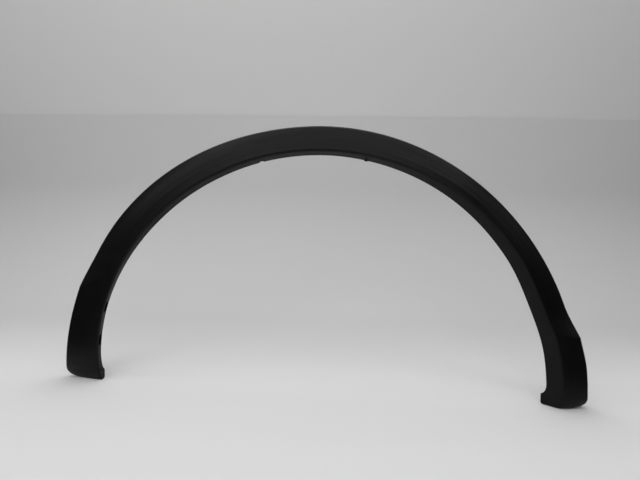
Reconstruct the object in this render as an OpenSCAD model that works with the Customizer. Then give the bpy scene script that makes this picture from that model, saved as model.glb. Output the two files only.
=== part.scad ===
// Wheel arch moulding: one injection-moulded shell that covers the edge of a wheel opening.
// +X runs along the vehicle, +Y goes in towards its body and +Z is up. The moulding stands on
// its two feet, and the origin is the middle of its footprint. Lengths are millimetres.
// The shell is one section, drawn as radius and depth, that changes as it goes round the wheel.
// Angles start at 0 over the right foot, pass 90 at the top and end at 180 over the left foot.

/* [Wheel opening] */
// Radius from the wheel centre to the lip
lip_r = 400; // [340:1:460]
// Height of the wheel centre above the soles of the feet
hub_h = 16; // [14:1:40]
// How far the lip swells past a true circle on the right shoulder
swell_right = 2.5; // [0:0.5:6]
// How far the lip swells past a true circle on the left shoulder
swell_left = 2; // [0:0.5:6]
// How far the lip draws in above the right foot
waist_in = 3; // [0:0.5:6]
// How far the lip turns in at the left foot
toe_in = 7; // [0:0.5:10]

/* [Body line] */
// How far both ends bow back to follow the body in plan
bow = 12; // [0:1:40]
// How far the left end sits back and the right end sits forward
skew = 34; // [0:1:60]
// How far the top of the arch leans in towards the body
lean = 18; // [0:1:30]

/* [Outer face] */
// Wall thickness of the moulding
wall = 2.6; // [2:0.1:3.2]
// Width of the face above the right foot, from the lip circle outwards
face_w_right = 35.5; // [30:0.5:50]
// Width of the face at the top
face_w_top = 42.5; // [36:0.5:56]
// Width of the face above the left foot
face_w_left = 58; // [44:0.5:72]
// Distance of the crease outside the lip circle, where it starts on the right
crease_r_right = 15; // [10:0.5:18]
// Distance of the crease outside the lip circle at the top
crease_r_top = 11.5; // [9:0.5:18]
// Distance of the crease outside the lip circle, where it ends on the left
crease_r_left = 24.5; // [14:0.5:30]
// How far the crease stands in front of the lip
crease_proud = 3; // [1:0.5:6]
// Depth of the outer edge behind the lip
face_d = 17; // [14:1:26]
// Swell of the face between crease and outer edge, and right across it where there is no crease
crown = 1.2; // [0:0.1:3]
// Depth of the rolled outer edge
edge_d = 6; // [6:0.5:12]
// How far the rolled edge leans out over its depth
edge_flare = 0.4; // [0:0.1:1]
// Set-back of the rounding along the lip
lip_round = 4.5; // [4:0.5:6]
// Set-back of the rounding along the crease
crease_round = 3; // [1:0.5:6]
// Set-back of the rounding along the outer edge
edge_round = 5; // [4.5:0.5:6]

/* [Return flange] */
// Depth of the return flange above the right foot
flange_d_right = 22; // [18:1:40]
// Depth of the return flange at the top
flange_d_top = 22; // [18:1:40]
// Depth of the return flange above the left foot
flange_d_left = 14; // [13:0.5:30]
// How far the back edge of the flange leans in above the right foot
flange_in_right = 15; // [4:0.5:20]
// How far the back edge of the flange leans in at the top
flange_in_top = 6.5; // [2:0.5:10]
// How far the back edge of the flange leans in above the left foot
flange_in_left = 0.5; // [0:0.5:6]

/* [Feet] */
// Extra width of the face at the right foot
foot_w_right = 7; // [0:0.5:14]
// Extra width of the face at the left foot
foot_w_left = 3; // [0:0.5:10]
// How much wider still the right foot is at its sole
foot_flare_right = 3; // [0:0.5:6]
// How much wider still the left foot is at its sole
foot_flare_left = 3; // [0:0.5:6]
// Depth of the front of the outer edge behind the lip at both feet
foot_face_d = 7.5; // [7:0.5:8]
// How far the lip comes forward at the right foot
foot_lip_right = 3; // [0:0.5:6]
// How far the left face rolls back towards its sole
barrel_d = 5; // [0:0.5:8]
// Height over which the left face rolls back
barrel_h = 110; // [60:5:160]
// Radius that turns the face under at each sole
foot_round = 10; // [8:0.5:13]
// Width of the rounding of the outer bottom corners
corner_w = 19; // [8:0.5:25]
// Height of the rounding of the outer bottom corners
corner_h = 12; // [8:0.5:16]
// Radius of the bottom corner of each hook
hook_round = 6; // [2:0.5:8]
// How much of those radii the sole cuts off flat
sole_cut = 0.8; // [0.4:0.1:2]
// Thickness of the closed sole
sole_t = 3; // [2:0.5:5]
// How far the hook of the right foot reaches in towards the wheel
hook_in_right = 9.5; // [0:0.5:16]
// How far the hook of the left foot reaches in towards the wheel
hook_in_left = 3; // [0:0.5:16]
// How much deeper the flange is in the hook of the left foot
hook_d_left = 6; // [4:0.5:16]
// Height at which each hook is fully out
hook_h = 19; // [16:1:30]
// Height of the sweep into the hook of the right foot
hook_sweep_right = 19; // [8:1:40]
// Height of the sweep into the hook of the left foot
hook_sweep_left = 38; // [8:1:60]
// How far the lip of the left foot tucks in at its sole
tuck_left = 1; // [0:0.5:1]
// Distance of the relief's middle outside the lip circle
relief_at = 4; // [0:1:10]
// Width of the relief under the right foot
relief_w = 24; // [10:1:30]
// Height of the relief under the right foot
relief_h = 1.6; // [0.5:0.1:2]

/* [Fixings] */
// Diameter of the screw holes in the left flange
screw_hole_d = 5.6; // [4:0.1:6.5]
// Length of each screw pocket along the lip
pocket_l = 21; // [16:1:26]
// Width of each screw pocket across the flange
pocket_w = 7.6; // [7:0.1:8]
// Width of the rim between each screw pocket and the back edge
pocket_rim = 2; // [1.5:0.1:2.5]
// Depth of each screw pocket below the flange
pocket_d = 4.4; // [3:0.1:5]
// Length of the liner nub along the flange
nub_l = 6; // [4:1:10]
// Width of the liner nub across the flange
nub_w = 4; // [2:0.5:6]
// Height of the liner nub
nub_h = 1.5; // [1:0.5:4]
// Radius of the nick in the flange
nick_r = 5; // [4:0.5:8]
// Depth of the nick in the flange
nick_d = 3; // [2:0.5:3.5]
// Diameter of the clip holes
clip_hole_d = 8; // [6:0.5:9]
// Length of each clip tower along the arch
tower_l = 22; // [18:1:30]
// Width of each clip tower across the face
tower_w = 17; // [15:1:20]
// Wall thickness of the clip towers
tower_wall = 2.4; // [1.6:0.1:3]
// Thickness of the cross ribs
rib_t = 2; // [1.2:0.1:3]

/* [Hidden] */

$fn = 48;

// Where along the arch each feature begins and ends, in degrees
blend_right = 25;
blend_top = 92;
blend_left = 152;
slope_right = [30, 88];
slope_left = [132, 164];
toe_from = 160;
crease_from = [44, 56];
crease_to = [150, 161];
ramp_right = [13.2, 20.5];
ramp_left = [160.4, 150.8];
flare_to = 6;
nub_at = 78.5;
nick_at = 104.5;
pocket_at = [162.6, 171.4];
tower_at = [24, 46, 68, 90, 112, 134, 154];
rib_at = [6, 35, 57, 79, 101, 123, 144, 167, 175];

// How far short of the flange's back edge its pads and nub stop
edge_gap = 0.3;

// Narrowest plain face left between the roundings of crease and outer edge
face_min = 1;
// Longest share of the next stretch that a rounding takes up
round_share = 0.8;
// Steps of each rounding in the section
round_steps = 3;
// Steps across the plain parts of the section
flange_steps = 3;
face_steps = 5;

function clamp(v, low, high) = min(high, max(low, v));
function mix(a, b, share) = a + (b - a) * share;
function ease(u) = let(v = clamp(u, 0, 1)) v * v * (3 - 2 * v);
function unit(v) = v / norm(v);
function hump(t, centre, reach) = abs(t - centre) > reach ? 0 : pow(cos(90 * (t - centre) / reach), 2);

// A size that is one value on the right, another at the top and a third on the left
function along(t, right, top, left) =
    t < blend_top
        ? mix(right, top, ease((t - blend_right) / (blend_top - blend_right)))
        : mix(top, left, ease((t - blend_top) / (blend_left - blend_top)));

// The step of a foot: soft where it leaves the face and crisp where it meets the foot
function ramp(t, span) = let(u = clamp((span[1] - t) / (span[1] - span[0]), 0, 1)) u * u * (1.5 - 0.5 * u);

// Arc length, and the height of a station above the sole
function arc(t) = lip_r * t * PI / 180;
function height(t) = hub_h + (t < 0 ? arc(t) : t > 180 ? arc(180 - t) : lip_r * sin(t));

// How far a quarter round of radius r is set back at height h above the sole
function set_back(h, r) = let(v = clamp(r - h, 0, r)) r - sqrt(r * r - v * v);

// The hook sweeps out like a quarter ellipse above hook_h and stays out below it
function hook(h, sweep) = let(u = clamp((hook_h + sweep - h) / sweep, 0, 1)) 1 - sqrt(1 - u * u);
function hook_right(t) = t < 90 ? hook(height(t), hook_sweep_right) : 0;
function hook_left(t) = t > 90 ? hook(height(t), hook_sweep_left) : 0;

// Depth that the body line adds at a place, with z taken from the wheel centre
function body_y(x, z) = bow * pow(x / lip_r, 2) - skew * x / lip_r + lean * z / lip_r;

// A point of the section at t, in its own radial plane and then in space.
// Below the wheel centre the legs run straight down.
function flat(t, p) = let(r = lip_r + p[0]) [r, p[1] + body_y(r * cos(t), r * sin(t))];
function place(t, p) =
    let(
        r = lip_r + p[0],
        a = clamp(t, 0, 180),
        x = r * cos(a),
        z = r * sin(a) + (t < 0 ? arc(t) : t > 180 ? arc(180 - t) : 0)
    ) [x, p[1] + body_y(x, z), z + hub_h];

// How far the lip lies outside its circle
function lip(t) =
    swell_right * hump(t, 52, 32)
    + swell_left * hump(t, 140, 28)
    - waist_in * hump(t, 23, 13)
    - toe_in * pow(clamp((t - toe_from) / (180 - toe_from), 0, 1), 2);
function tuck(t) = t > 90 ? tuck_left * set_back(height(t), hook_h) / hook_h : 0;

// Outer edge, crease and flange at t
function face_w(t) =
    along(t, face_w_right, face_w_top, face_w_left)
    + foot_w_right * ramp(t, ramp_right)
    + foot_w_left * ramp(t, ramp_left)
    + foot_flare_right * ease((ramp_right[0] - t) / (ramp_right[0] - flare_to))
    + foot_flare_left * ease((t - toe_from) / (180 - toe_from));
function edge_y(t) = mix(face_d, foot_face_d, ramp(t, ramp_right) + ramp(t, ramp_left));
function crease_r(t) = along(t, crease_r_right, crease_r_top, crease_r_left);
function crease_share(t) =
    ease((t - crease_from[0]) / (crease_from[1] - crease_from[0]))
    * ease((crease_to[1] - t) / (crease_to[1] - crease_to[0]));
function flange_d(t) = along(t, flange_d_right, flange_d_top, flange_d_left) + hook_d_left * hook_left(t);
function flange_in(t) =
    mix(flange_in_top, flange_in_right, ease((slope_right[1] - t) / (slope_right[1] - slope_right[0])))
    + mix(0, flange_in_left - flange_in_top, ease((t - slope_left[0]) / (slope_left[1] - slope_left[0])))
    + hook_in_right * hook_right(t)
    + hook_in_left * hook_left(t)
    - set_back(height(t) + sole_cut, hook_round);

// The right lip comes forward and the left face rolls back
function roll_back(t) =
    t < 90
        ? -foot_lip_right * ramp(t, ramp_right)
        : barrel_d * pow(clamp(1 - height(t) / barrel_h, 0, 1), 2);

// One rounded corner of the section
function rounded(p, q, s, back) =
    let(
        a = q + unit(p - q) * back,
        b = q + unit(s - q) * min(back, round_share * norm(s - q))
    ) [for (i = [0 : round_steps]) let(u = i / round_steps) (1 - u) * (1 - u) * a + 2 * u * (1 - u) * q + u * u * b];

// Outer surface of the section: flange, lip, bevel, crease, face and rolled edge.
// under is how far the face is turned back, and inset how far the outer edge is drawn in.
function outline(t, under, inset) =
    let(
        y0 = roll_back(t) + under,
        x0 = lip(t) - tuck(t),
        w = face_w(t) - inset,
        c = min(crease_r(t), w - edge_round - crease_round - face_min),
        u0 = (c - x0) / (w - x0),
        share = crease_share(t),
        heel = [lip(t) - flange_in(t), flange_d(t)],
        front = [x0, y0],
        back = [w, y0 + edge_y(t)],
        plain = mix(y0, back[1], u0) - 4 * crown * u0 * (1 - u0),
        crease = [c, mix(plain, y0 - crease_proud, share)],
        tail = [w + edge_flare, face_d + edge_d],
        across = unit(back - crease),
        bulge = [across[1], -across[0]] * 4 * crown * mix(pow(1 - u0, 2), 1, share),
        a = crease + across * crease_round,
        b = back - across * edge_round
    ) concat(
        [for (i = [0 : flange_steps - 1]) mix(heel, front + unit(heel - front) * lip_round, i / flange_steps)],
        rounded(heel, front, crease, lip_round),
        rounded(front, crease, back, crease_round),
        [for (i = [1 : face_steps - 1]) let(u = i / face_steps) mix(a, b, u) + bulge * u * (1 - u)],
        rounded(crease, back, tail, edge_round),
        [tail]
    );

// The same line moved into the wall by its thickness
function inside(line) =
    let(last = len(line) - 1) [
        for (i = [0 : last])
            let(
                before = unit(line[max(i, 1)] - line[max(i, 1) - 1]),
                after = unit(line[min(i, last - 1) + 1] - line[min(i, last - 1)]),
                turn = unit([-before[1] - after[1], before[0] + after[0]])
            ) line[i] + turn * wall / (turn * [-before[1], before[0]])
    ];

// How far the rounded bottom corner draws the outer edge in at height h above the sole
function corner(h, w, tall) = w / tall * set_back(h, tall);

function outer(t) =
    let(h = height(t) + sole_cut) outline(t, set_back(h, foot_round), corner(h, corner_w, corner_h));
function inner(t) =
    let(h = max(0, height(t) - sole_t))
        inside(outline(t, set_back(h, foot_round - wall), corner(h, corner_w - wall, corner_h - wall)));
function middle(t) = (outer(t) + inner(t)) / 2;

// Stations round the arch, closest together at the soles, hooks and ramps.
// crisp is how far before its crisp end each ramp gets a station.
crisp = 0.25;
function spread(from, to, steps) = [for (i = [0 : steps - 1]) mix(from, to, i / steps)];
leg_end = hub_h / lip_r * 180 / PI;
sole_steps = [for (i = [0 : 5]) (1 - cos(90 * i / 6)) * leg_end];
hook_end = 6.5;
stations = concat(
    [for (s = sole_steps) s - leg_end],
    spread(0, hook_end, 11),
    spread(hook_end, ramp_right[0] - crisp, 4),
    spread(ramp_right[0] - crisp, ramp_right[1], 10),
    spread(ramp_right[1], ramp_left[1], 50),
    spread(ramp_left[1], ramp_left[0] + crisp, 11),
    spread(ramp_left[0] + crisp, 180 - hook_end, 5),
    spread(180 - hook_end, 180, 11),
    [for (i = [0 : 5]) 180 + leg_end - sole_steps[5 - i]],
    [180 + leg_end]
);

rings = [for (t = stations) concat([for (p = outer(t)) place(t, p)], [for (p = inner(t)) place(t, p)])];
skin_points = [for (ring = rings) each ring];
half = len(rings[0]) / 2;

// The middle of the moulding's footprint
xs = [for (p = skin_points) p[0]];
ys = [for (p = skin_points) p[1]];
origin = [(min(xs) + max(xs)) / 2, (min(ys) + max(ys)) / 2, 0];

// The shell itself, lofted through every station
module skin() {
    // Where a point stands in its ring: outer line forwards, then inner line backwards
    order = concat([for (i = [0 : half - 1]) i], [for (i = [0 : half - 1]) 2 * half - 1 - i]);
    around = len(order);
    sides = [
        for (s = [0 : len(stations) - 2])
            for (i = [0 : around - 1])
                let(
                    a = s * around + order[i],
                    b = s * around + order[(i + 1) % around],
                    c = b + around,
                    d = a + around
                )
                each [[a, d, c], [a, c, b]]
    ];
    ends = [
        for (i = [0 : half - 2])
            let(last = (len(stations) - 1) * around)
            each [
                [i, i + 1, half + i + 1],
                [i, half + i + 1, half + i],
                [last + i, last + half + i + 1, last + i + 1],
                [last + i, last + half + i, last + half + i + 1]
            ]
    ];
    polyhedron(skin_points, concat(sides, ends), convexity = 20);
}

// Closed sole of one foot
module sole(t) {
    linear_extrude(sole_t)
        polygon([for (p = middle(t)) let(q = place(t, p)) [q[0], q[1]]]);
}

// A flat piece in the radial plane at t, given as radius and depth
module radial(t, thickness) {
    translate([0, 0, hub_h])
        rotate([0, -t, 0])
            linear_extrude(thickness, center = true)
                children();
}

// Cross rib: fills the channel between face and flange up to a slanting back edge
module rib(t) {
    line = middle(t);
    radial(t, rib_t)
        polygon([for (i = [1 : len(line) - 1]) flat(t, line[i])]);
}

// Depth of the middle of the wall behind the face at a radial distance outside the lip circle
function wall_y(t, r) =
    let(line = middle(t)) lookup(r, [for (i = [flange_steps + round_steps + 1 : len(line) - round_steps - 2]) line[i]]);

// Clip tower: three walls and a plate that is square to Y, with one clip hole
module tower(t) {
    r0 = mix(crease_r(t), face_w(t), 0.5) - tower_w / 2;
    r1 = r0 + tower_w;
    swing = (tower_l - tower_wall) / 2 / lip_r * 180 / PI;
    top = flat(t, [(r0 + r1) / 2, face_d + edge_d])[1];
    plate_y = top - tower_wall / 2;
    difference() {
        union() {
            for (side = [-1, 1])
                let(s = t + side * swing)
                    radial(s, tower_wall)
                        polygon([
                            flat(s, [r0, wall_y(s, r0)]),
                            flat(s, [r1, wall_y(s, r1)]),
                            [lip_r + r1, plate_y],
                            [lip_r + r0, plate_y]
                        ]);
            radial(t, tower_l)
                translate([lip_r + r0, top - tower_wall])
                    square([tower_w, tower_wall]);
            radial(t, tower_l - tower_wall)
                polygon([
                    flat(t, [r1 - tower_wall, wall_y(t, r1 - tower_wall)]),
                    flat(t, [r1, wall_y(t, r1)]),
                    [lip_r + r1, plate_y],
                    [lip_r + r1 - tower_wall, plate_y]
                ]);
        }
        translate([0, 0, hub_h])
            rotate([0, -t, 0])
                translate([lip_r + (r0 + r1) / 2, top - 2 * tower_wall, 0])
                    rotate([-90, 0, 0])
                        cylinder(d = clip_hole_d, h = 4 * tower_wall);
    }
}

// Frame at the back edge of the flange: X runs out from the wheel centre and Y in towards the body
module at_heel(t) {
    translate([0, 0, hub_h])
        rotate([0, -t, 0])
            translate(concat(flat(t, [lip(t) - flange_in(t), flange_d(t)]), [0]))
                children();
}

// Pad of plastic behind the flange that gives a screw pocket its walls and floor
module pocket_pad(t) {
    at_heel(t)
        translate([wall / 2, -pocket_rim - pocket_w - wall, -pocket_l / 2 - wall])
            cube([pocket_d + wall / 2, pocket_w + pocket_rim + wall - edge_gap, pocket_l + 2 * wall]);
}

// The pocket itself, a slot with round ends, and its screw hole
module pocket_cut(t) {
    straight = pocket_l - pocket_w;
    at_heel(t)
        translate([0, -pocket_rim - pocket_w / 2, 0])
            rotate([0, 90, 0]) {
                translate([0, 0, -lip_round])
                    linear_extrude(lip_round + pocket_d) {
                        square([straight, pocket_w], center = true);
                        for (side = [-1, 1])
                            translate([side * straight / 2, 0])
                                circle(d = pocket_w);
                    }
                cylinder(d = screw_hole_d, h = pocket_d + 2 * wall);
            }
}

// Small nub near the back edge of the flange that meets the wheel liner
module nub() {
    at_heel(nub_at)
        translate([-nub_h, -nub_w - edge_gap, -nub_l / 2])
            cube([nub_h + wall / 2, nub_w, nub_l]);
}

// Half-round nick in the back edge of the flange
module nick_cut() {
    at_heel(nick_at)
        translate([-wall, nick_r - nick_d, 0])
            rotate([0, 90, 0])
                cylinder(r = nick_r, h = 4 * wall);
}

// Shallow arc that lifts the middle of the right sole clear of the floor
module relief_cut() {
    relief_r = (relief_w * relief_w / 4 + relief_h * relief_h) / (2 * relief_h);
    translate([lip_r + relief_at, 0, relief_h - relief_r])
        rotate([90, 0, 0])
            cylinder(r = relief_r, h = 2 * (face_d + skew + bow + edge_d), center = true, $fn = 360);
}

module arch_panel() {
    color([0.05, 0.05, 0.055])
        translate(-origin)
            difference() {
                union() {
                    skin();
                    sole(-leg_end);
                    sole(180 + leg_end);
                    for (t = rib_at) rib(t);
                    for (t = tower_at) tower(t);
                    for (t = pocket_at) pocket_pad(t);
                    nub();
                }
                for (t = pocket_at) pocket_cut(t);
                nick_cut();
                relief_cut();
            }
}

arch_panel();
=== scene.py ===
# Wheel arch repair panel: one near-black moulding that stands on its two feet on pale paper.
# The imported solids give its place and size, and this script gives it its looks. Lengths are
# metres. X runs along the vehicle, Y goes in towards its body and Z is up.
import math

import bmesh
import bpy
import numpy as np
from mathutils import Matrix, Vector


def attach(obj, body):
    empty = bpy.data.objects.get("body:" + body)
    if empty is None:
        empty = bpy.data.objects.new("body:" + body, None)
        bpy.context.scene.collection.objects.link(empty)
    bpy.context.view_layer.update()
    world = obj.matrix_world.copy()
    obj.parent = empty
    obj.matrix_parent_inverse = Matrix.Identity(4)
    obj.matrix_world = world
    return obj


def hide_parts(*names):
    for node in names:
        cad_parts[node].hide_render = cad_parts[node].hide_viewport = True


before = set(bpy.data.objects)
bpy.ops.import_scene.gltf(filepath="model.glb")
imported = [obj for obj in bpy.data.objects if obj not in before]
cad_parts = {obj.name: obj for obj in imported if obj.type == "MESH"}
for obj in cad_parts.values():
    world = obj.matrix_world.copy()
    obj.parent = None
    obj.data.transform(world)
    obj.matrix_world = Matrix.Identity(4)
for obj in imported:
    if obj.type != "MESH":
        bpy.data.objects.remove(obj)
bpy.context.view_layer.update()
mm = 0.001


# The moulding's skin: one wall of injection-moulded plastic with a rolled lip round the wheel, a
# return flange, a creased face, a rolled outer edge and two thicker feet. It is lofted by angle:
# below 0 in the right foot, 90 at the top of the arch and over 180 in the left foot.
lip_radius = 400 * mm
hub_height = 16 * mm
wall = 2.6 * mm
leg_end = math.degrees(hub_height / lip_radius)
arch_middle = 92
right_leg_top = 25
left_leg_top = 152


def clamp(v, low=0.0, high=1.0):
    return min(high, max(low, v))


def mix(a, b, share):
    return a + (b - a) * share


def ease(u):
    v = clamp(u)
    return v * v * (3 - 2 * v)


def unit(v):
    return v / math.hypot(v[0], v[1])


def hump(t, centre, reach):
    if abs(t - centre) > reach:
        return 0.0
    return math.cos(math.pi / 2 * (t - centre) / reach) ** 2


def along(t, right, top, left):
    if t < arch_middle:
        return mix(right, top, ease((t - right_leg_top) / (arch_middle - right_leg_top)))
    return mix(top, left, ease((t - arch_middle) / (left_leg_top - arch_middle)))


def below_hub(t):
    if t < 0:
        return lip_radius * math.radians(t)
    return lip_radius * math.radians(180 - t) if t > 180 else 0.0


def height(t):
    a = math.radians(clamp(t, 0, 180))
    return hub_height + below_hub(t) + lip_radius * math.sin(a)


def set_back(h, r):
    v = clamp(r - h, 0, r)
    return r - math.sqrt(r * r - v * v)


# The whole panel is bent to the vehicle's side: bowed, turned and leaning a little.
bow = 12 * mm
turn_in = 34 * mm
lean_back = 18 * mm


def body_line(x, z):
    return bow * (x / lip_radius) ** 2 - turn_in * x / lip_radius + lean_back * z / lip_radius


# Above each foot the face steps back over a ramp, whose ends run aslant across the face.
ramp_right = (13.2, 20.5)
ramp_left = (160.4, 150.8)
ramp_right_slant = (2.2, -0.8)
ramp_left_slant = (-7, -4)


def ramp(t, span):
    u = clamp((span[1] - t) / (span[1] - span[0]))
    return u * u * (1.5 - 0.5 * u)


def slanted(span, slant, inward):
    return span[0] + slant[0] * inward, span[1] + slant[1] * inward


def step_share(t, across):
    inward = 1 - across
    right = ramp(t, slanted(ramp_right, ramp_right_slant, inward))
    return right + ramp(t, slanted(ramp_left, ramp_left_slant, inward))


# The lip is nearly a circle: it swells in two places, dips in one and comes in at the left toe.
lip_swells = ((2.5 * mm, 52, 32), (2 * mm, 140, 28), (-3 * mm, 23, 13))
lip_round = 4.5 * mm
toe_start = 160.0
toe_in = 7 * mm


def lip(t):
    swells = sum(size * hump(t, centre, reach) for size, centre, reach in lip_swells)
    return swells - toe_in * clamp((t - toe_start) / (180 - toe_start)) ** 2


# The face, from the lip to the outer edge. It is wider at the feet and flares at the toes.
face_right = 35.5 * mm
face_top = 42.46 * mm
face_left = 58 * mm
foot_wider_right = 7 * mm
foot_wider_left = 3 * mm
toe_flare = 3 * mm
toe_flare_full = 6
crown = 1.2 * mm


def face_width(t):
    feet = foot_wider_right * ramp(t, ramp_right) + foot_wider_left * ramp(t, ramp_left)
    right = ease((ramp_right[0] - t) / (ramp_right[0] - toe_flare_full))
    left = ease((t - toe_start) / (180 - toe_start))
    return along(t, face_right, face_top, face_left) + feet + toe_flare * (right + left)


# The outer edge, rolled back. Its front is less deep at the feet.
face_depth = 17 * mm
foot_face_depth = 7.5 * mm
edge_depth = 6 * mm
edge_round = 5 * mm
edge_flare = 0.4 * mm


def edge_y(t):
    return mix(face_depth, foot_face_depth, ramp(t, ramp_right) + ramp(t, ramp_left))


# The crease, with a bevel between it and the lip, fades in above the right leg and out on the
# left one.
crease_proud = -2 * mm
crease_round = 3 * mm
crease_gap = 1 * mm
crease_begins = (44, 56)
crease_ends = (150, 158.5)


def crease_out(t):
    return along(t, 15 * mm, 11.5 * mm, 24.5 * mm)


def crease_share(t):
    begun = ease((t - crease_begins[0]) / (crease_begins[1] - crease_begins[0]))
    return begun * ease((crease_ends[1] - t) / (crease_ends[1] - crease_ends[0]))


# The flange goes in from the lip and ends in a hook at each toe. Over the right leg and the top
# it is less deep than the solid's, and leans in more, so its back edge stays in its line of sight.
hook_height = 19 * mm
hook_round = 6 * mm
hook_sweep_right = 19 * mm
hook_sweep_left = 38 * mm
hook_deeper_right = 8.6 * mm
hook_deeper_left = 6 * mm
hook_in_right = 5.8 * mm
hook_in_left = 3 * mm
lean_top = 6.5 * mm
lean_right = 15 * mm
lean_lost_left = 6 * mm
less_deep = 6 * mm
sole_cut = 0.8 * mm


def hook(h, sweep):
    u = clamp((hook_height + sweep - h) / sweep)
    return 1 - math.sqrt(1 - u * u)


def hooked(t, right, left):
    if t < 90:
        return right * hook(height(t), hook_sweep_right)
    return left * hook(height(t), hook_sweep_left)


def flange_depth(t):
    return along(t, 16 * mm, 16 * mm, 14 * mm) + hooked(t, hook_deeper_right, hook_deeper_left)


def in_sight(t):
    a = math.radians(clamp(t, 0, 180))
    return 0.46 - 0.04 * math.cos(a) - 0.37 * math.sin(a)


def flange_lean(t):
    lean = mix(lean_top, lean_right, ease((88 - t) / 58)) - lean_lost_left * ease((t - 132) / 32)
    lean += along(t, less_deep, less_deep, 0) * in_sight(t)
    toe = hooked(t, hook_in_right, hook_in_left)
    return lean + toe - set_back(height(t) + sole_cut, hook_round)


# The feet: the right one stands in front of the leg, and the left one rolls back to its toe.
foot_proud = 3 * mm
toe_roll = 5 * mm
toe_roll_height = 110 * mm
toe_tuck = 1 * mm


def roll_back(t):
    if t < 90:
        return -foot_proud * ramp(t, ramp_right)
    return toe_roll * clamp(1 - height(t) / toe_roll_height) ** 2


def tuck(t):
    return toe_tuck * set_back(height(t), hook_height) / hook_height if t > 90 else 0.0


# One section: points (distance outside the lip circle, depth behind the lip) from the back edge
# of the flange, round the lip and over the crease to the back of the outer edge.
round_steps = 10
flange_steps = 7
face_steps = 18
longest_round = 0.8


def rounded(p, q, s, back):
    a = q + unit(p - q) * back
    b = q + unit(s - q) * min(back, longest_round * np.linalg.norm(s - q))
    steps = [i / round_steps for i in range(round_steps + 1)]
    return [(1 - u) ** 2 * a + 2 * u * (1 - u) * q + u * u * b for u in steps]


def outline(t, under, inset):
    y0 = roll_back(t) + under
    x0 = lip(t) - tuck(t)
    w = face_width(t) - inset
    c = min(crease_out(t), w - edge_round - crease_round - crease_gap)
    u0 = (c - x0) / (w - x0)
    share = crease_share(t)
    heel = np.array([lip(t) - flange_lean(t), flange_depth(t)])
    front = np.array([x0, y0])
    back = np.array([w, y0 + edge_y(t)])
    plain = mix(y0, back[1], u0) - 4 * crown * u0 * (1 - u0)
    crease = np.array([c, mix(plain, y0 - crease_proud, share)])
    tail = np.array([w + edge_flare, face_depth + edge_depth])
    across = unit(back - crease)
    bulge = np.array([across[1], -across[0]]) * 4 * crown * mix((1 - u0) ** 2, 1, share)
    a = crease + across * crease_round
    b = back - across * edge_round
    mouth = front + unit(heel - front) * lip_round
    points = [mix(heel, mouth, i / flange_steps) for i in range(flange_steps)]
    points += rounded(heel, front, crease, lip_round)
    points += rounded(front, crease, back, crease_round)
    shares = [i / face_steps for i in range(1, face_steps)]
    points += [mix(a, b, u) + bulge * u * (1 - u) for u in shares]
    points += rounded(crease, back, tail, edge_round)
    line = np.array(points + [tail])
    foot_lip = foot_proud if t < 90 else 0.0
    for i, p in enumerate(line):
        across = clamp((p[0] - x0) / (w - x0))
        step = foot_lip * (1 - across) + (face_depth - foot_face_depth) * across
        p[1] -= step * (step_share(t, across) - step_share(t, 1)) * min(1, i / flange_steps)
    return line


def inside(line):
    before = np.vstack([line[1] - line[0], np.diff(line, axis=0)])
    after = np.vstack([np.diff(line, axis=0), line[-1] - line[-2]])
    before /= np.linalg.norm(before, axis=1)[:, None]
    after /= np.linalg.norm(after, axis=1)[:, None]
    normal = np.stack([-before[:, 1], before[:, 0]], axis=1)
    turn = np.stack([-before[:, 1] - after[:, 1], before[:, 0] + after[:, 0]], axis=1)
    turn /= np.linalg.norm(turn, axis=1)[:, None]
    return line + turn * wall / (turn * normal).sum(axis=1)[:, None]


# The bottom of the feet: rounded outer corners, and a face that turns under towards the sole.
sole_thickness = 3 * mm
narrowest_sole = 28 * mm
corner_width = 29 * mm
corner_height = 18 * mm
foot_round = 11 * mm
foot_round_right = 20 * mm
foot_round_left = 25 * mm
under_share = 0.85
under_power = 1.5


def corner(t, h, width, tall):
    return min(width / tall * set_back(h, tall), face_width(t) - narrowest_sole)


def turned_under(t, h, depth, thinner):
    tall = (foot_round_right if t < 90 else foot_round_left) - thinner
    v = clamp(1 - h / tall)
    return under_share * depth * (1 - (1 - v**under_power) ** (1 / under_power))


def outer(t):
    h = height(t) + sole_cut
    under = turned_under(t, h, foot_round, 0)
    return outline(t, under, corner(t, h, corner_width, corner_height))


def inner(t):
    h = max(0.0, height(t) - sole_thickness)
    under = turned_under(t, h, foot_round - 1.5 * wall, wall)
    return inside(outline(t, under, corner(t, h, corner_width - wall, corner_height - wall)))


def place(t, line):
    r = lip_radius + line[:, 0]
    a = math.radians(clamp(t, 0, 180))
    x = r * math.cos(a)
    z = r * math.sin(a) + below_hub(t)
    return np.stack([x, line[:, 1] + body_line(x, z), z + hub_height], axis=1)


# The angles of the sections, closer together at the feet and over the ramps.
sole_steps = 14
sole_stations = [
    leg_end * (1 - math.cos(math.pi / 2 * i / sole_steps)) for i in range(sole_steps)
]
stations = [s - leg_end for s in sole_stations]
start = 0
for end, steps in (
    (7.5, 30),
    (ramp_right[0] - 0.6, 10),
    (ramp_right[1], 36),
    (ramp_left[1] - 4, 150),
    (ramp_left[0] + 0.6, 56),
    (171, 12),
    (180, 34),
):
    stations += [mix(start, end, i / steps) for i in range(steps)]
    start = end
stations += [180 + leg_end - s for s in reversed(sole_stations)]

rings = np.array([np.vstack([place(t, outer(t)), place(t, inner(t))[::-1]]) for t in stations])
to_frame = Matrix.Translation((9.25 * mm, -28.14 * mm, 0))


def solid(name, points, faces):
    mesh = bpy.data.meshes.new(name)
    mesh.from_pydata([tuple(p) for p in points], [], faces)
    mesh.transform(to_frame)
    b = bmesh.new()
    b.from_mesh(mesh)
    bmesh.ops.recalc_face_normals(b, faces=b.faces)
    b.to_mesh(mesh)
    b.free()
    piece = bpy.data.objects.new(name, mesh)
    bpy.context.scene.collection.objects.link(piece)
    return piece


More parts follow.
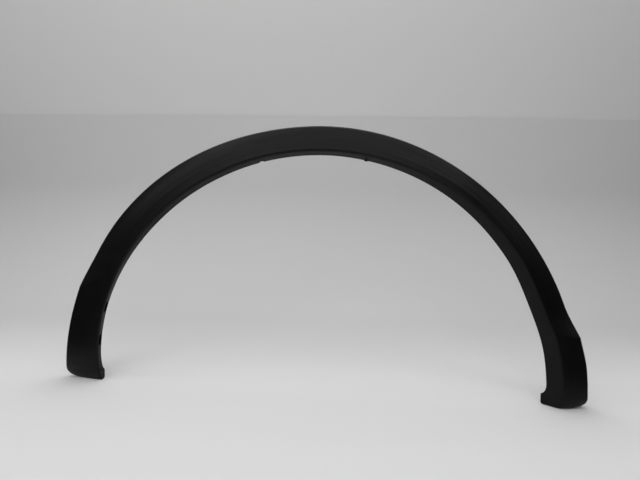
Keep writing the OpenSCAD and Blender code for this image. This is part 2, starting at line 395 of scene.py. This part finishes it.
around = rings.shape[1]
skin_faces = []
for s in range(len(stations) - 1):
    low, high = s * around, (s + 1) * around
    for i in range(around):
        j = (i + 1) % around
        skin_faces.append((low + i, low + j, high + j, high + i))
for first in (0, (len(stations) - 1) * around):
    for i in range(around // 2 - 1):
        skin_faces.append(tuple(first + k for k in (i, i + 1, around - 2 - i, around - 1 - i)))
panel = solid("arch_panel_skin", rings.reshape(-1, 3), skin_faces)


# What is moulded on behind the face: the closed soles, nine cross ribs and seven clip towers.
# They come out of the same mould, so they are joined to the skin with no seam.
rib_thickness = 2 * mm
rib_angles = (6, 35, 57, 79, 101, 123, 144, 167, 175)
tower_length = 22 * mm
tower_width = 17 * mm
tower_wall = 2.4 * mm
tower_soft_edge = 0.5 * mm
tower_angles = (24, 46, 68, 90, 112, 134, 154)
clip_hole = 8 * mm
sole_start = 0.02 * mm


def middle(t):
    return (outer(t) + inner(t)) / 2


def flat(t, line):
    line = np.atleast_2d(line)
    r = lip_radius + line[:, 0]
    a = math.radians(t)
    return np.stack([r, line[:, 1] + body_line(r * math.cos(a), r * math.sin(a))], axis=1)


def radial_frame(t):
    return Matrix.Translation((0, 0, hub_height)) @ Matrix.Rotation(-math.radians(t), 4, "Y")


def prism(name, outline_points, low_end, high_end, where, soften=0.0):
    count = len(outline_points)
    ends = (low_end, high_end)
    points = [where @ Vector((p[0], p[1], end)) for end in ends for p in outline_points]
    faces = [tuple(range(count)), tuple(range(2 * count - 1, count - 1, -1))]
    faces += [(i, (i + 1) % count, count + (i + 1) % count, count + i) for i in range(count)]
    piece = solid(name, points, faces)
    if soften:
        b = bmesh.new()
        b.from_mesh(piece.data)
        bmesh.ops.bevel(
            b, geom=b.edges, offset=soften, segments=2, affect="EDGES", profile=0.5
        )
        b.to_mesh(piece.data)
        b.free()
    return piece


def round_bar(name, diameter, low_end, high_end, where, sides=48):
    steps = [math.tau * i / sides for i in range(sides)]
    ring = [(diameter / 2 * math.cos(s), diameter / 2 * math.sin(s)) for s in steps]
    return prism(name, ring, low_end, high_end, where)


def wall_y(t, r):
    line = middle(t)[flange_steps + round_steps + 1 : -round_steps - 1]
    return float(np.interp(r, line[:, 0], line[:, 1]))


added = []
cut = []
for t in (-leg_end, 180 + leg_end):
    sole_line = place(t, middle(t))[:, :2]
    added.append(prism("sole", sole_line, sole_start, sole_thickness, Matrix.Identity(4)))
for t in rib_angles:
    rib_line = flat(t, middle(t)[1:])
    added.append(prism("rib", rib_line, -rib_thickness / 2, rib_thickness / 2, radial_frame(t)))
for t in tower_angles:
    r0 = (crease_out(t) + face_width(t)) / 2 - tower_width / 2
    r1 = r0 + tower_width
    top = flat(t, ((r0 + r1) / 2, face_depth + edge_depth))[0][1]
    plate_y = top - tower_wall / 2
    swing = math.degrees((tower_length - tower_wall) / 2 / lip_radius)
    for s in (t - swing, t + swing):
        foot = flat(s, [(r0, wall_y(s, r0)), (r1, wall_y(s, r1))])
        side = [*foot, (lip_radius + r1, plate_y), (lip_radius + r0, plate_y)]
        ends = (-tower_wall / 2, tower_wall / 2)
        added.append(prism("tower_side", side, *ends, radial_frame(s)))
    plate = [
        (lip_radius + r0, top - tower_wall),
        (lip_radius + r1, top - tower_wall),
        (lip_radius + r1, top),
        (lip_radius + r0, top),
    ]
    half = tower_length / 2
    added.append(prism("tower_plate", plate, -half, half, radial_frame(t), tower_soft_edge))
    inner_r = r1 - tower_wall
    back = flat(t, [(inner_r, wall_y(t, inner_r)), (r1, wall_y(t, r1))])
    back = [*back, (lip_radius + r1, plate_y), (lip_radius + inner_r, plate_y)]
    half -= tower_wall / 2
    added.append(prism("tower_back", back, -half, half, radial_frame(t)))
    clip = Matrix.Translation((lip_radius + (r0 + r1) / 2, top, 0))
    clip = radial_frame(t) @ (clip @ Matrix.Rotation(math.pi / 2, 4, "X"))
    cut.append(round_bar("clip_hole", clip_hole, -2 * tower_wall, 2 * tower_wall, clip))


# The fixing points in the left flange: two screw pockets with a round hole in the floor. The
# flange also has a small nub for the wheel liner and a nick, and the right sole has a relief.
pocket_angles = (162.6, 171.4)
pocket_length = 21 * mm
pocket_width = 7.6 * mm
pocket_rim = 2 * mm
pocket_depth = 4.4 * mm
screw_hole = 5.6 * mm
behind_edge = 0.3 * mm
nub_angle = 78.5
nub_length = 6 * mm
nub_height = 1.5 * mm
nub_reach = 4.3 * mm
nub_soft_edge = 0.6 * mm
nick_angle = 104.5
nick_radius = 5 * mm
nick_depth = 3 * mm
relief_width = 24 * mm
relief_height = 1.6 * mm
relief_from_lip = 4 * mm
relief_reach = 80 * mm
relief_sides = 720


def heel_frame(t):
    r, y = flat(t, (lip(t) - flange_lean(t), flange_depth(t)))[0]
    return radial_frame(t) @ Matrix.Translation((r, y, 0))


def box(name, low_corner, high_corner, where, soften=0.0):
    (x0, y0, z0), (x1, y1, z1) = low_corner, high_corner
    return prism(name, [(x0, y0), (x1, y0), (x1, y1), (x0, y1)], z0, z1, where, soften)


for t in pocket_angles:
    heel = heel_frame(t)
    half = pocket_length / 2 + wall
    front_y = -pocket_rim - pocket_width - wall
    pad = ((wall / 2, front_y, -half), (pocket_depth + wall, -behind_edge, half))
    added.append(box("pocket_pad", pad[0], pad[1], heel))
    mouth = heel @ Matrix.Translation((0, -pocket_rim - pocket_width / 2, 0))
    mouth = mouth @ Matrix.Rotation(math.pi / 2, 4, "Y")
    reach = (pocket_length - pocket_width) / 2
    arcs = [math.pi * (0.5 + i / 24) for i in range(25)]
    radius = pocket_width / 2
    slot = [(-reach + radius * math.cos(a), radius * math.sin(a)) for a in arcs]
    slot += [(reach - radius * math.cos(a), -radius * math.sin(a)) for a in arcs]
    cut.append(prism("pocket", slot, -lip_round, pocket_depth, mouth))
    cut.append(round_bar("screw_hole", screw_hole, 0, pocket_depth + 2 * wall, mouth))

nub = ((-nub_height, -nub_reach, -nub_length / 2), (wall / 2, -behind_edge, nub_length / 2))
added.append(box("liner_nub", nub[0], nub[1], heel_frame(nub_angle), nub_soft_edge))
nick = heel_frame(nick_angle) @ Matrix.Translation((0, nick_radius - nick_depth, 0))
nick = nick @ Matrix.Rotation(math.pi / 2, 4, "Y")
cut.append(round_bar("nick", 2 * nick_radius, -wall, 3 * wall, nick))
relief_radius = (relief_width**2 / 4 + relief_height**2) / (2 * relief_height)
under = Matrix.Translation((lip_radius + relief_from_lip, 0, relief_height - relief_radius))
under = under @ Matrix.Rotation(math.pi / 2, 4, "X")
relief = (2 * relief_radius, -relief_reach, relief_reach)
cut.append(round_bar("relief", *relief, under, relief_sides))


# One moulding again: the pieces are joined and the holes cut, as the mould leaves them. Corners
# sharper than the mould's own radii stay sharp, and every other surface is smooth.
weld = 0.005 * mm
sharp_corner = 32


def carve(piece, tools, operation):
    group = bpy.data.collections.new("tools")
    for tool in tools:
        bpy.context.scene.collection.objects.unlink(tool)
        group.objects.link(tool)
    step = piece.modifiers.new("carve", "BOOLEAN")
    step.operation = operation
    step.operand_type = "COLLECTION"
    step.collection = group
    step.solver = "EXACT"
    step.use_self = operation == "UNION"
    carved = piece.evaluated_get(bpy.context.evaluated_depsgraph_get())
    shaped = bpy.data.meshes.new_from_object(carved)
    piece.modifiers.clear()
    piece.data = shaped
    for tool in tools:
        bpy.data.objects.remove(tool)
    bpy.data.collections.remove(group)


carve(panel, added, "UNION")
carve(panel, cut, "DIFFERENCE")
tidy = bmesh.new()
tidy.from_mesh(panel.data)
bmesh.ops.remove_doubles(tidy, verts=tidy.verts, dist=weld)
bmesh.ops.dissolve_degenerate(tidy, edges=tidy.edges, dist=weld)
bmesh.ops.delete(tidy, geom=[e for e in tidy.edges if not e.link_faces], context="EDGES")
tidy.to_mesh(panel.data)
tidy.free()
panel.data.shade_smooth()
panel.data.set_sharp_from_angle(angle=math.radians(sharp_corner))


# The plastic: polypropylene coloured right through, near black, satin, with the very fine grain
# of a sandblasted mould and faint flow marks.
plastic = bpy.data.materials.new("moulded_black_plastic")
plastic.use_nodes = True
nodes = plastic.node_tree.nodes
links = plastic.node_tree.links
shader = nodes["Principled BSDF"]
shader.inputs["IOR"].default_value = 1.27
place_on_panel = nodes.new("ShaderNodeTexCoord")
black = (0.0011, 0.0011, 0.0012)
paler_black = (0.0021, 0.0021, 0.0022)
smoother = (0.34, 0.34, 0.34)
rougher = (0.42, 0.42, 0.42)


def mottle(scale, detail, rough):
    spots = nodes.new("ShaderNodeTexNoise")
    spots.inputs["Scale"].default_value = scale
    spots.inputs["Detail"].default_value = detail
    spots.inputs["Roughness"].default_value = rough
    links.new(place_on_panel.outputs["Object"], spots.inputs["Vector"])
    return spots.outputs["Fac"]


def between(source, low, high):
    blend = nodes.new("ShaderNodeValToRGB")
    blend.color_ramp.elements[0].position = 0.3
    blend.color_ramp.elements[1].position = 0.7
    blend.color_ramp.elements[0].color = (*low, 1)
    blend.color_ramp.elements[1].color = (*high, 1)
    links.new(source, blend.inputs["Fac"])
    return blend.outputs["Color"]


flow_marks = mottle(14, 3, 0.5)
handling = mottle(45, 5, 0.6)
links.new(between(flow_marks, black, paler_black), shader.inputs["Base Color"])
links.new(between(handling, smoother, rougher), shader.inputs["Roughness"])
grain = nodes.new("ShaderNodeBump")
grain.inputs["Strength"].default_value = 0.18
grain.inputs["Distance"].default_value = 0.03 * mm
links.new(mottle(2600, 2, 0.5), grain.inputs["Height"])
links.new(grain.outputs["Normal"], shader.inputs["Normal"])
panel.data.materials.clear()
panel.data.materials.append(plastic)
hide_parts("arch_panel")
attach(panel, "root")


# The paper that it stands on: one pale sheet that lies flat under the panel and sweeps up
# behind it, with a second sheet above its top edge. It is narrower in front, and the camera sees
# through it from its rear side, so that it hides the panel in no view.
paper_front = -1.6
paper_widens_at = -0.2
paper_flat = 0.42
paper_sweep = 0.38
paper_back = paper_flat + paper_sweep
paper_top = 0.592
paper_half_front = 0.465
paper_half_back = 1.2
sweep_steps = 24
# The floor sheet darkens from its near tone to its far tone towards the sweep. This is painted
# shade for the light that falls off behind the panel and up the sweep.
lower_sheet_near_tone = 0.88
lower_sheet_painted_shade_tone = 0.70
upper_sheet_tone = 0.765
upper_sheet_top = 2.4
sheet_gap = 4 * mm
sheet_overlap = 50 * mm


def half_width(y):
    share = clamp((y - paper_widens_at) / (paper_back - paper_widens_at))
    return mix(paper_half_front, paper_half_back, share)


def paper_sheet(name, profile, near, far):
    points = [(side * half_width(y), y, z) for y, z in profile for side in (-1, 1)]
    faces = [(2 * i, 2 * i + 1, 2 * i + 3, 2 * i + 2) for i in range(len(profile) - 1)]
    mesh = bpy.data.meshes.new(name)
    mesh.from_pydata(points, [], faces)
    mesh.shade_smooth()
    sheet = bpy.data.objects.new(name, mesh)
    bpy.context.scene.collection.objects.link(sheet)
    paper = bpy.data.materials.new(name)
    paper.use_nodes = True
    nodes, links = paper.node_tree.nodes, paper.node_tree.links
    matte = nodes["Principled BSDF"]
    matte.inputs["Base Color"].default_value = (far, far, far, 1)
    matte.inputs["Roughness"].default_value = 0.9
    matte.inputs["Specular IOR Level"].default_value = 0.2
    # Darker with Y between 0.1 and 0.5 m, from the front of the floor to the foot of the sweep:
    # painted shade on the floor sheet.
    if near != far:
        split = nodes.new("ShaderNodeSeparateXYZ")
        painted_shade_ramp = nodes.new("ShaderNodeValToRGB")
        painted_shade_ramp.color_ramp.elements[0].position = 0.1
        painted_shade_ramp.color_ramp.elements[1].position = 0.5
        painted_shade_ramp.color_ramp.elements[0].color = (near, near, near, 1)
        painted_shade_ramp.color_ramp.elements[1].color = (far, far, far, 1)
        place_on_paper = nodes.new("ShaderNodeTexCoord")
        links.new(place_on_paper.outputs["Object"], split.inputs["Vector"])
        links.new(split.outputs["Y"], painted_shade_ramp.inputs["Fac"])
        links.new(painted_shade_ramp.outputs["Color"], matte.inputs["Base Color"])
    rear_side = nodes.new("ShaderNodeNewGeometry").outputs["Backfacing"]
    camera_ray = nodes.new("ShaderNodeLightPath").outputs["Is Camera Ray"]
    from_behind = nodes.new("ShaderNodeMath")
    from_behind.operation = "MULTIPLY"
    links.new(rear_side, from_behind.inputs[0])
    links.new(camera_ray, from_behind.inputs[1])
    clear = nodes.new("ShaderNodeBsdfTransparent")
    one_sided = nodes.new("ShaderNodeMixShader")
    links.new(from_behind.outputs["Value"], one_sided.inputs["Fac"])
    links.new(matte.outputs["BSDF"], one_sided.inputs[1])
    links.new(clear.outputs["BSDF"], one_sided.inputs[2])
    links.new(one_sided.outputs["Shader"], nodes["Material Output"].inputs["Surface"])
    mesh.materials.append(paper)


profile = [(paper_front, 0), (paper_widens_at, 0), (0.1, 0), (0.25, 0)]
for i in range(sweep_steps + 1):
    a = math.pi / 2 * i / sweep_steps
    profile.append((paper_flat + paper_sweep * math.sin(a), paper_sweep * (1 - math.cos(a))))
profile.append((paper_back, paper_top))
paper_sheet("paper_floor", profile, lower_sheet_near_tone, lower_sheet_painted_shade_tone)
upper_sheet_y = paper_back + sheet_gap
upper_sheet = [(upper_sheet_y, paper_top - sheet_overlap), (upper_sheet_y, upper_sheet_top)]
paper_sheet("paper_wall", upper_sheet, upper_sheet_tone, upper_sheet_tone)


# The light: six soft panels under a low ceiling, two soft lamps behind the camera and one at
# each side, all dim. The room is an even dark grey to the camera and in the plastic's gloss.
def soft_lamp(name, position, target, width, depth, watts):
    data = bpy.data.lights.new(name, "AREA")
    data.shape = "RECTANGLE"
    data.size = width
    data.size_y = depth
    data.energy = watts
    lamp = bpy.data.objects.new(name, data)
    lamp.location = position
    aim = Vector(target) - Vector(position)
    lamp.rotation_euler = aim.to_track_quat("-Z", "Y").to_euler()
    bpy.context.scene.collection.objects.link(lamp)


ceiling = 2.0
for name, x, y, width, depth, watts in (
    ("ceiling_front_left", -1.075, -1.375, 1.05, 0.85, 5.3),
    ("ceiling_front", 0, -1.1, 1.1, 1.4, 6.6),
    ("ceiling_front_right", 1.075, -1.375, 1.05, 0.85, 6.6),
    ("ceiling_rear_left", -1.075, 0.175, 1.05, 1.15, 5.5),
    ("ceiling_rear", 0, 0.425, 1.1, 0.65, 6.3),
    ("ceiling_rear_right", 1.075, 0.175, 1.05, 1.15, 4.2),
):
    soft_lamp(name, (x, y, ceiling), (x, y, 0), width, depth, watts)
soft_lamp("front_lamp_left", (-1.3, -2.5, 1.2), (0, 0, 0.4), 1.2, 1.4, 11.3)
soft_lamp("front_lamp", (0, -2.5, 1.2), (0, 0, 0.4), 1.2, 1.4, 10.2)
soft_lamp("side_lamp_left", (-2.2, -0.9, 1.9), (-1.2, -0.6, 0.4), 1.1, 1.8, 8.3)
soft_lamp("side_lamp_right", (2.2, -0.9, 1.9), (1.2, -0.6, 0.4), 1.1, 1.8, 4.3)
room = bpy.data.worlds.new("room")
room.use_nodes = True
nodes, links = room.node_tree.nodes, room.node_tree.links
rays = nodes.new("ShaderNodeLightPath")
seen = rays.outputs["Is Camera Ray"]
for kind in ("Is Glossy Ray", "Is Transmission Ray"):
    either = nodes.new("ShaderNodeMath")
    either.operation = "MAXIMUM"
    links.new(seen, either.inputs[0])
    links.new(rays.outputs[kind], either.inputs[1])
    seen = either.outputs["Value"]
links.new(seen, nodes["Background"].inputs["Strength"])
nodes["Background"].inputs["Color"].default_value = (0.09, 0.09, 0.09, 1)
bpy.context.scene.world = room
bpy.context.scene.view_settings.view_transform = "Standard"


# The camera stands where the photograph was taken from: low, in front, turned a little left.
camera_data = bpy.data.cameras.new("camera")
camera_data.sensor_width = 36
camera_data.lens = 29.25
camera = bpy.data.objects.new("camera", camera_data)
camera_at = (0.0421, -0.8811, 0.3402)
yaw, pitch, roll = math.radians(-1.91), math.radians(4.82), math.radians(0.87)
flat_ahead = math.cos(pitch)
ahead = Vector((math.sin(yaw) * flat_ahead, math.cos(yaw) * flat_ahead, -math.sin(pitch)))
level = Vector((math.cos(yaw), -math.sin(yaw), 0))
above = level.cross(ahead)
right = level * math.cos(roll) + above * math.sin(roll)
up = above * math.cos(roll) - level * math.sin(roll)
turned = Matrix((right, up, -ahead)).transposed().to_4x4()
camera.matrix_world = Matrix.Translation(camera_at) @ turned
bpy.context.scene.collection.objects.link(camera)
bpy.context.scene.camera = camera
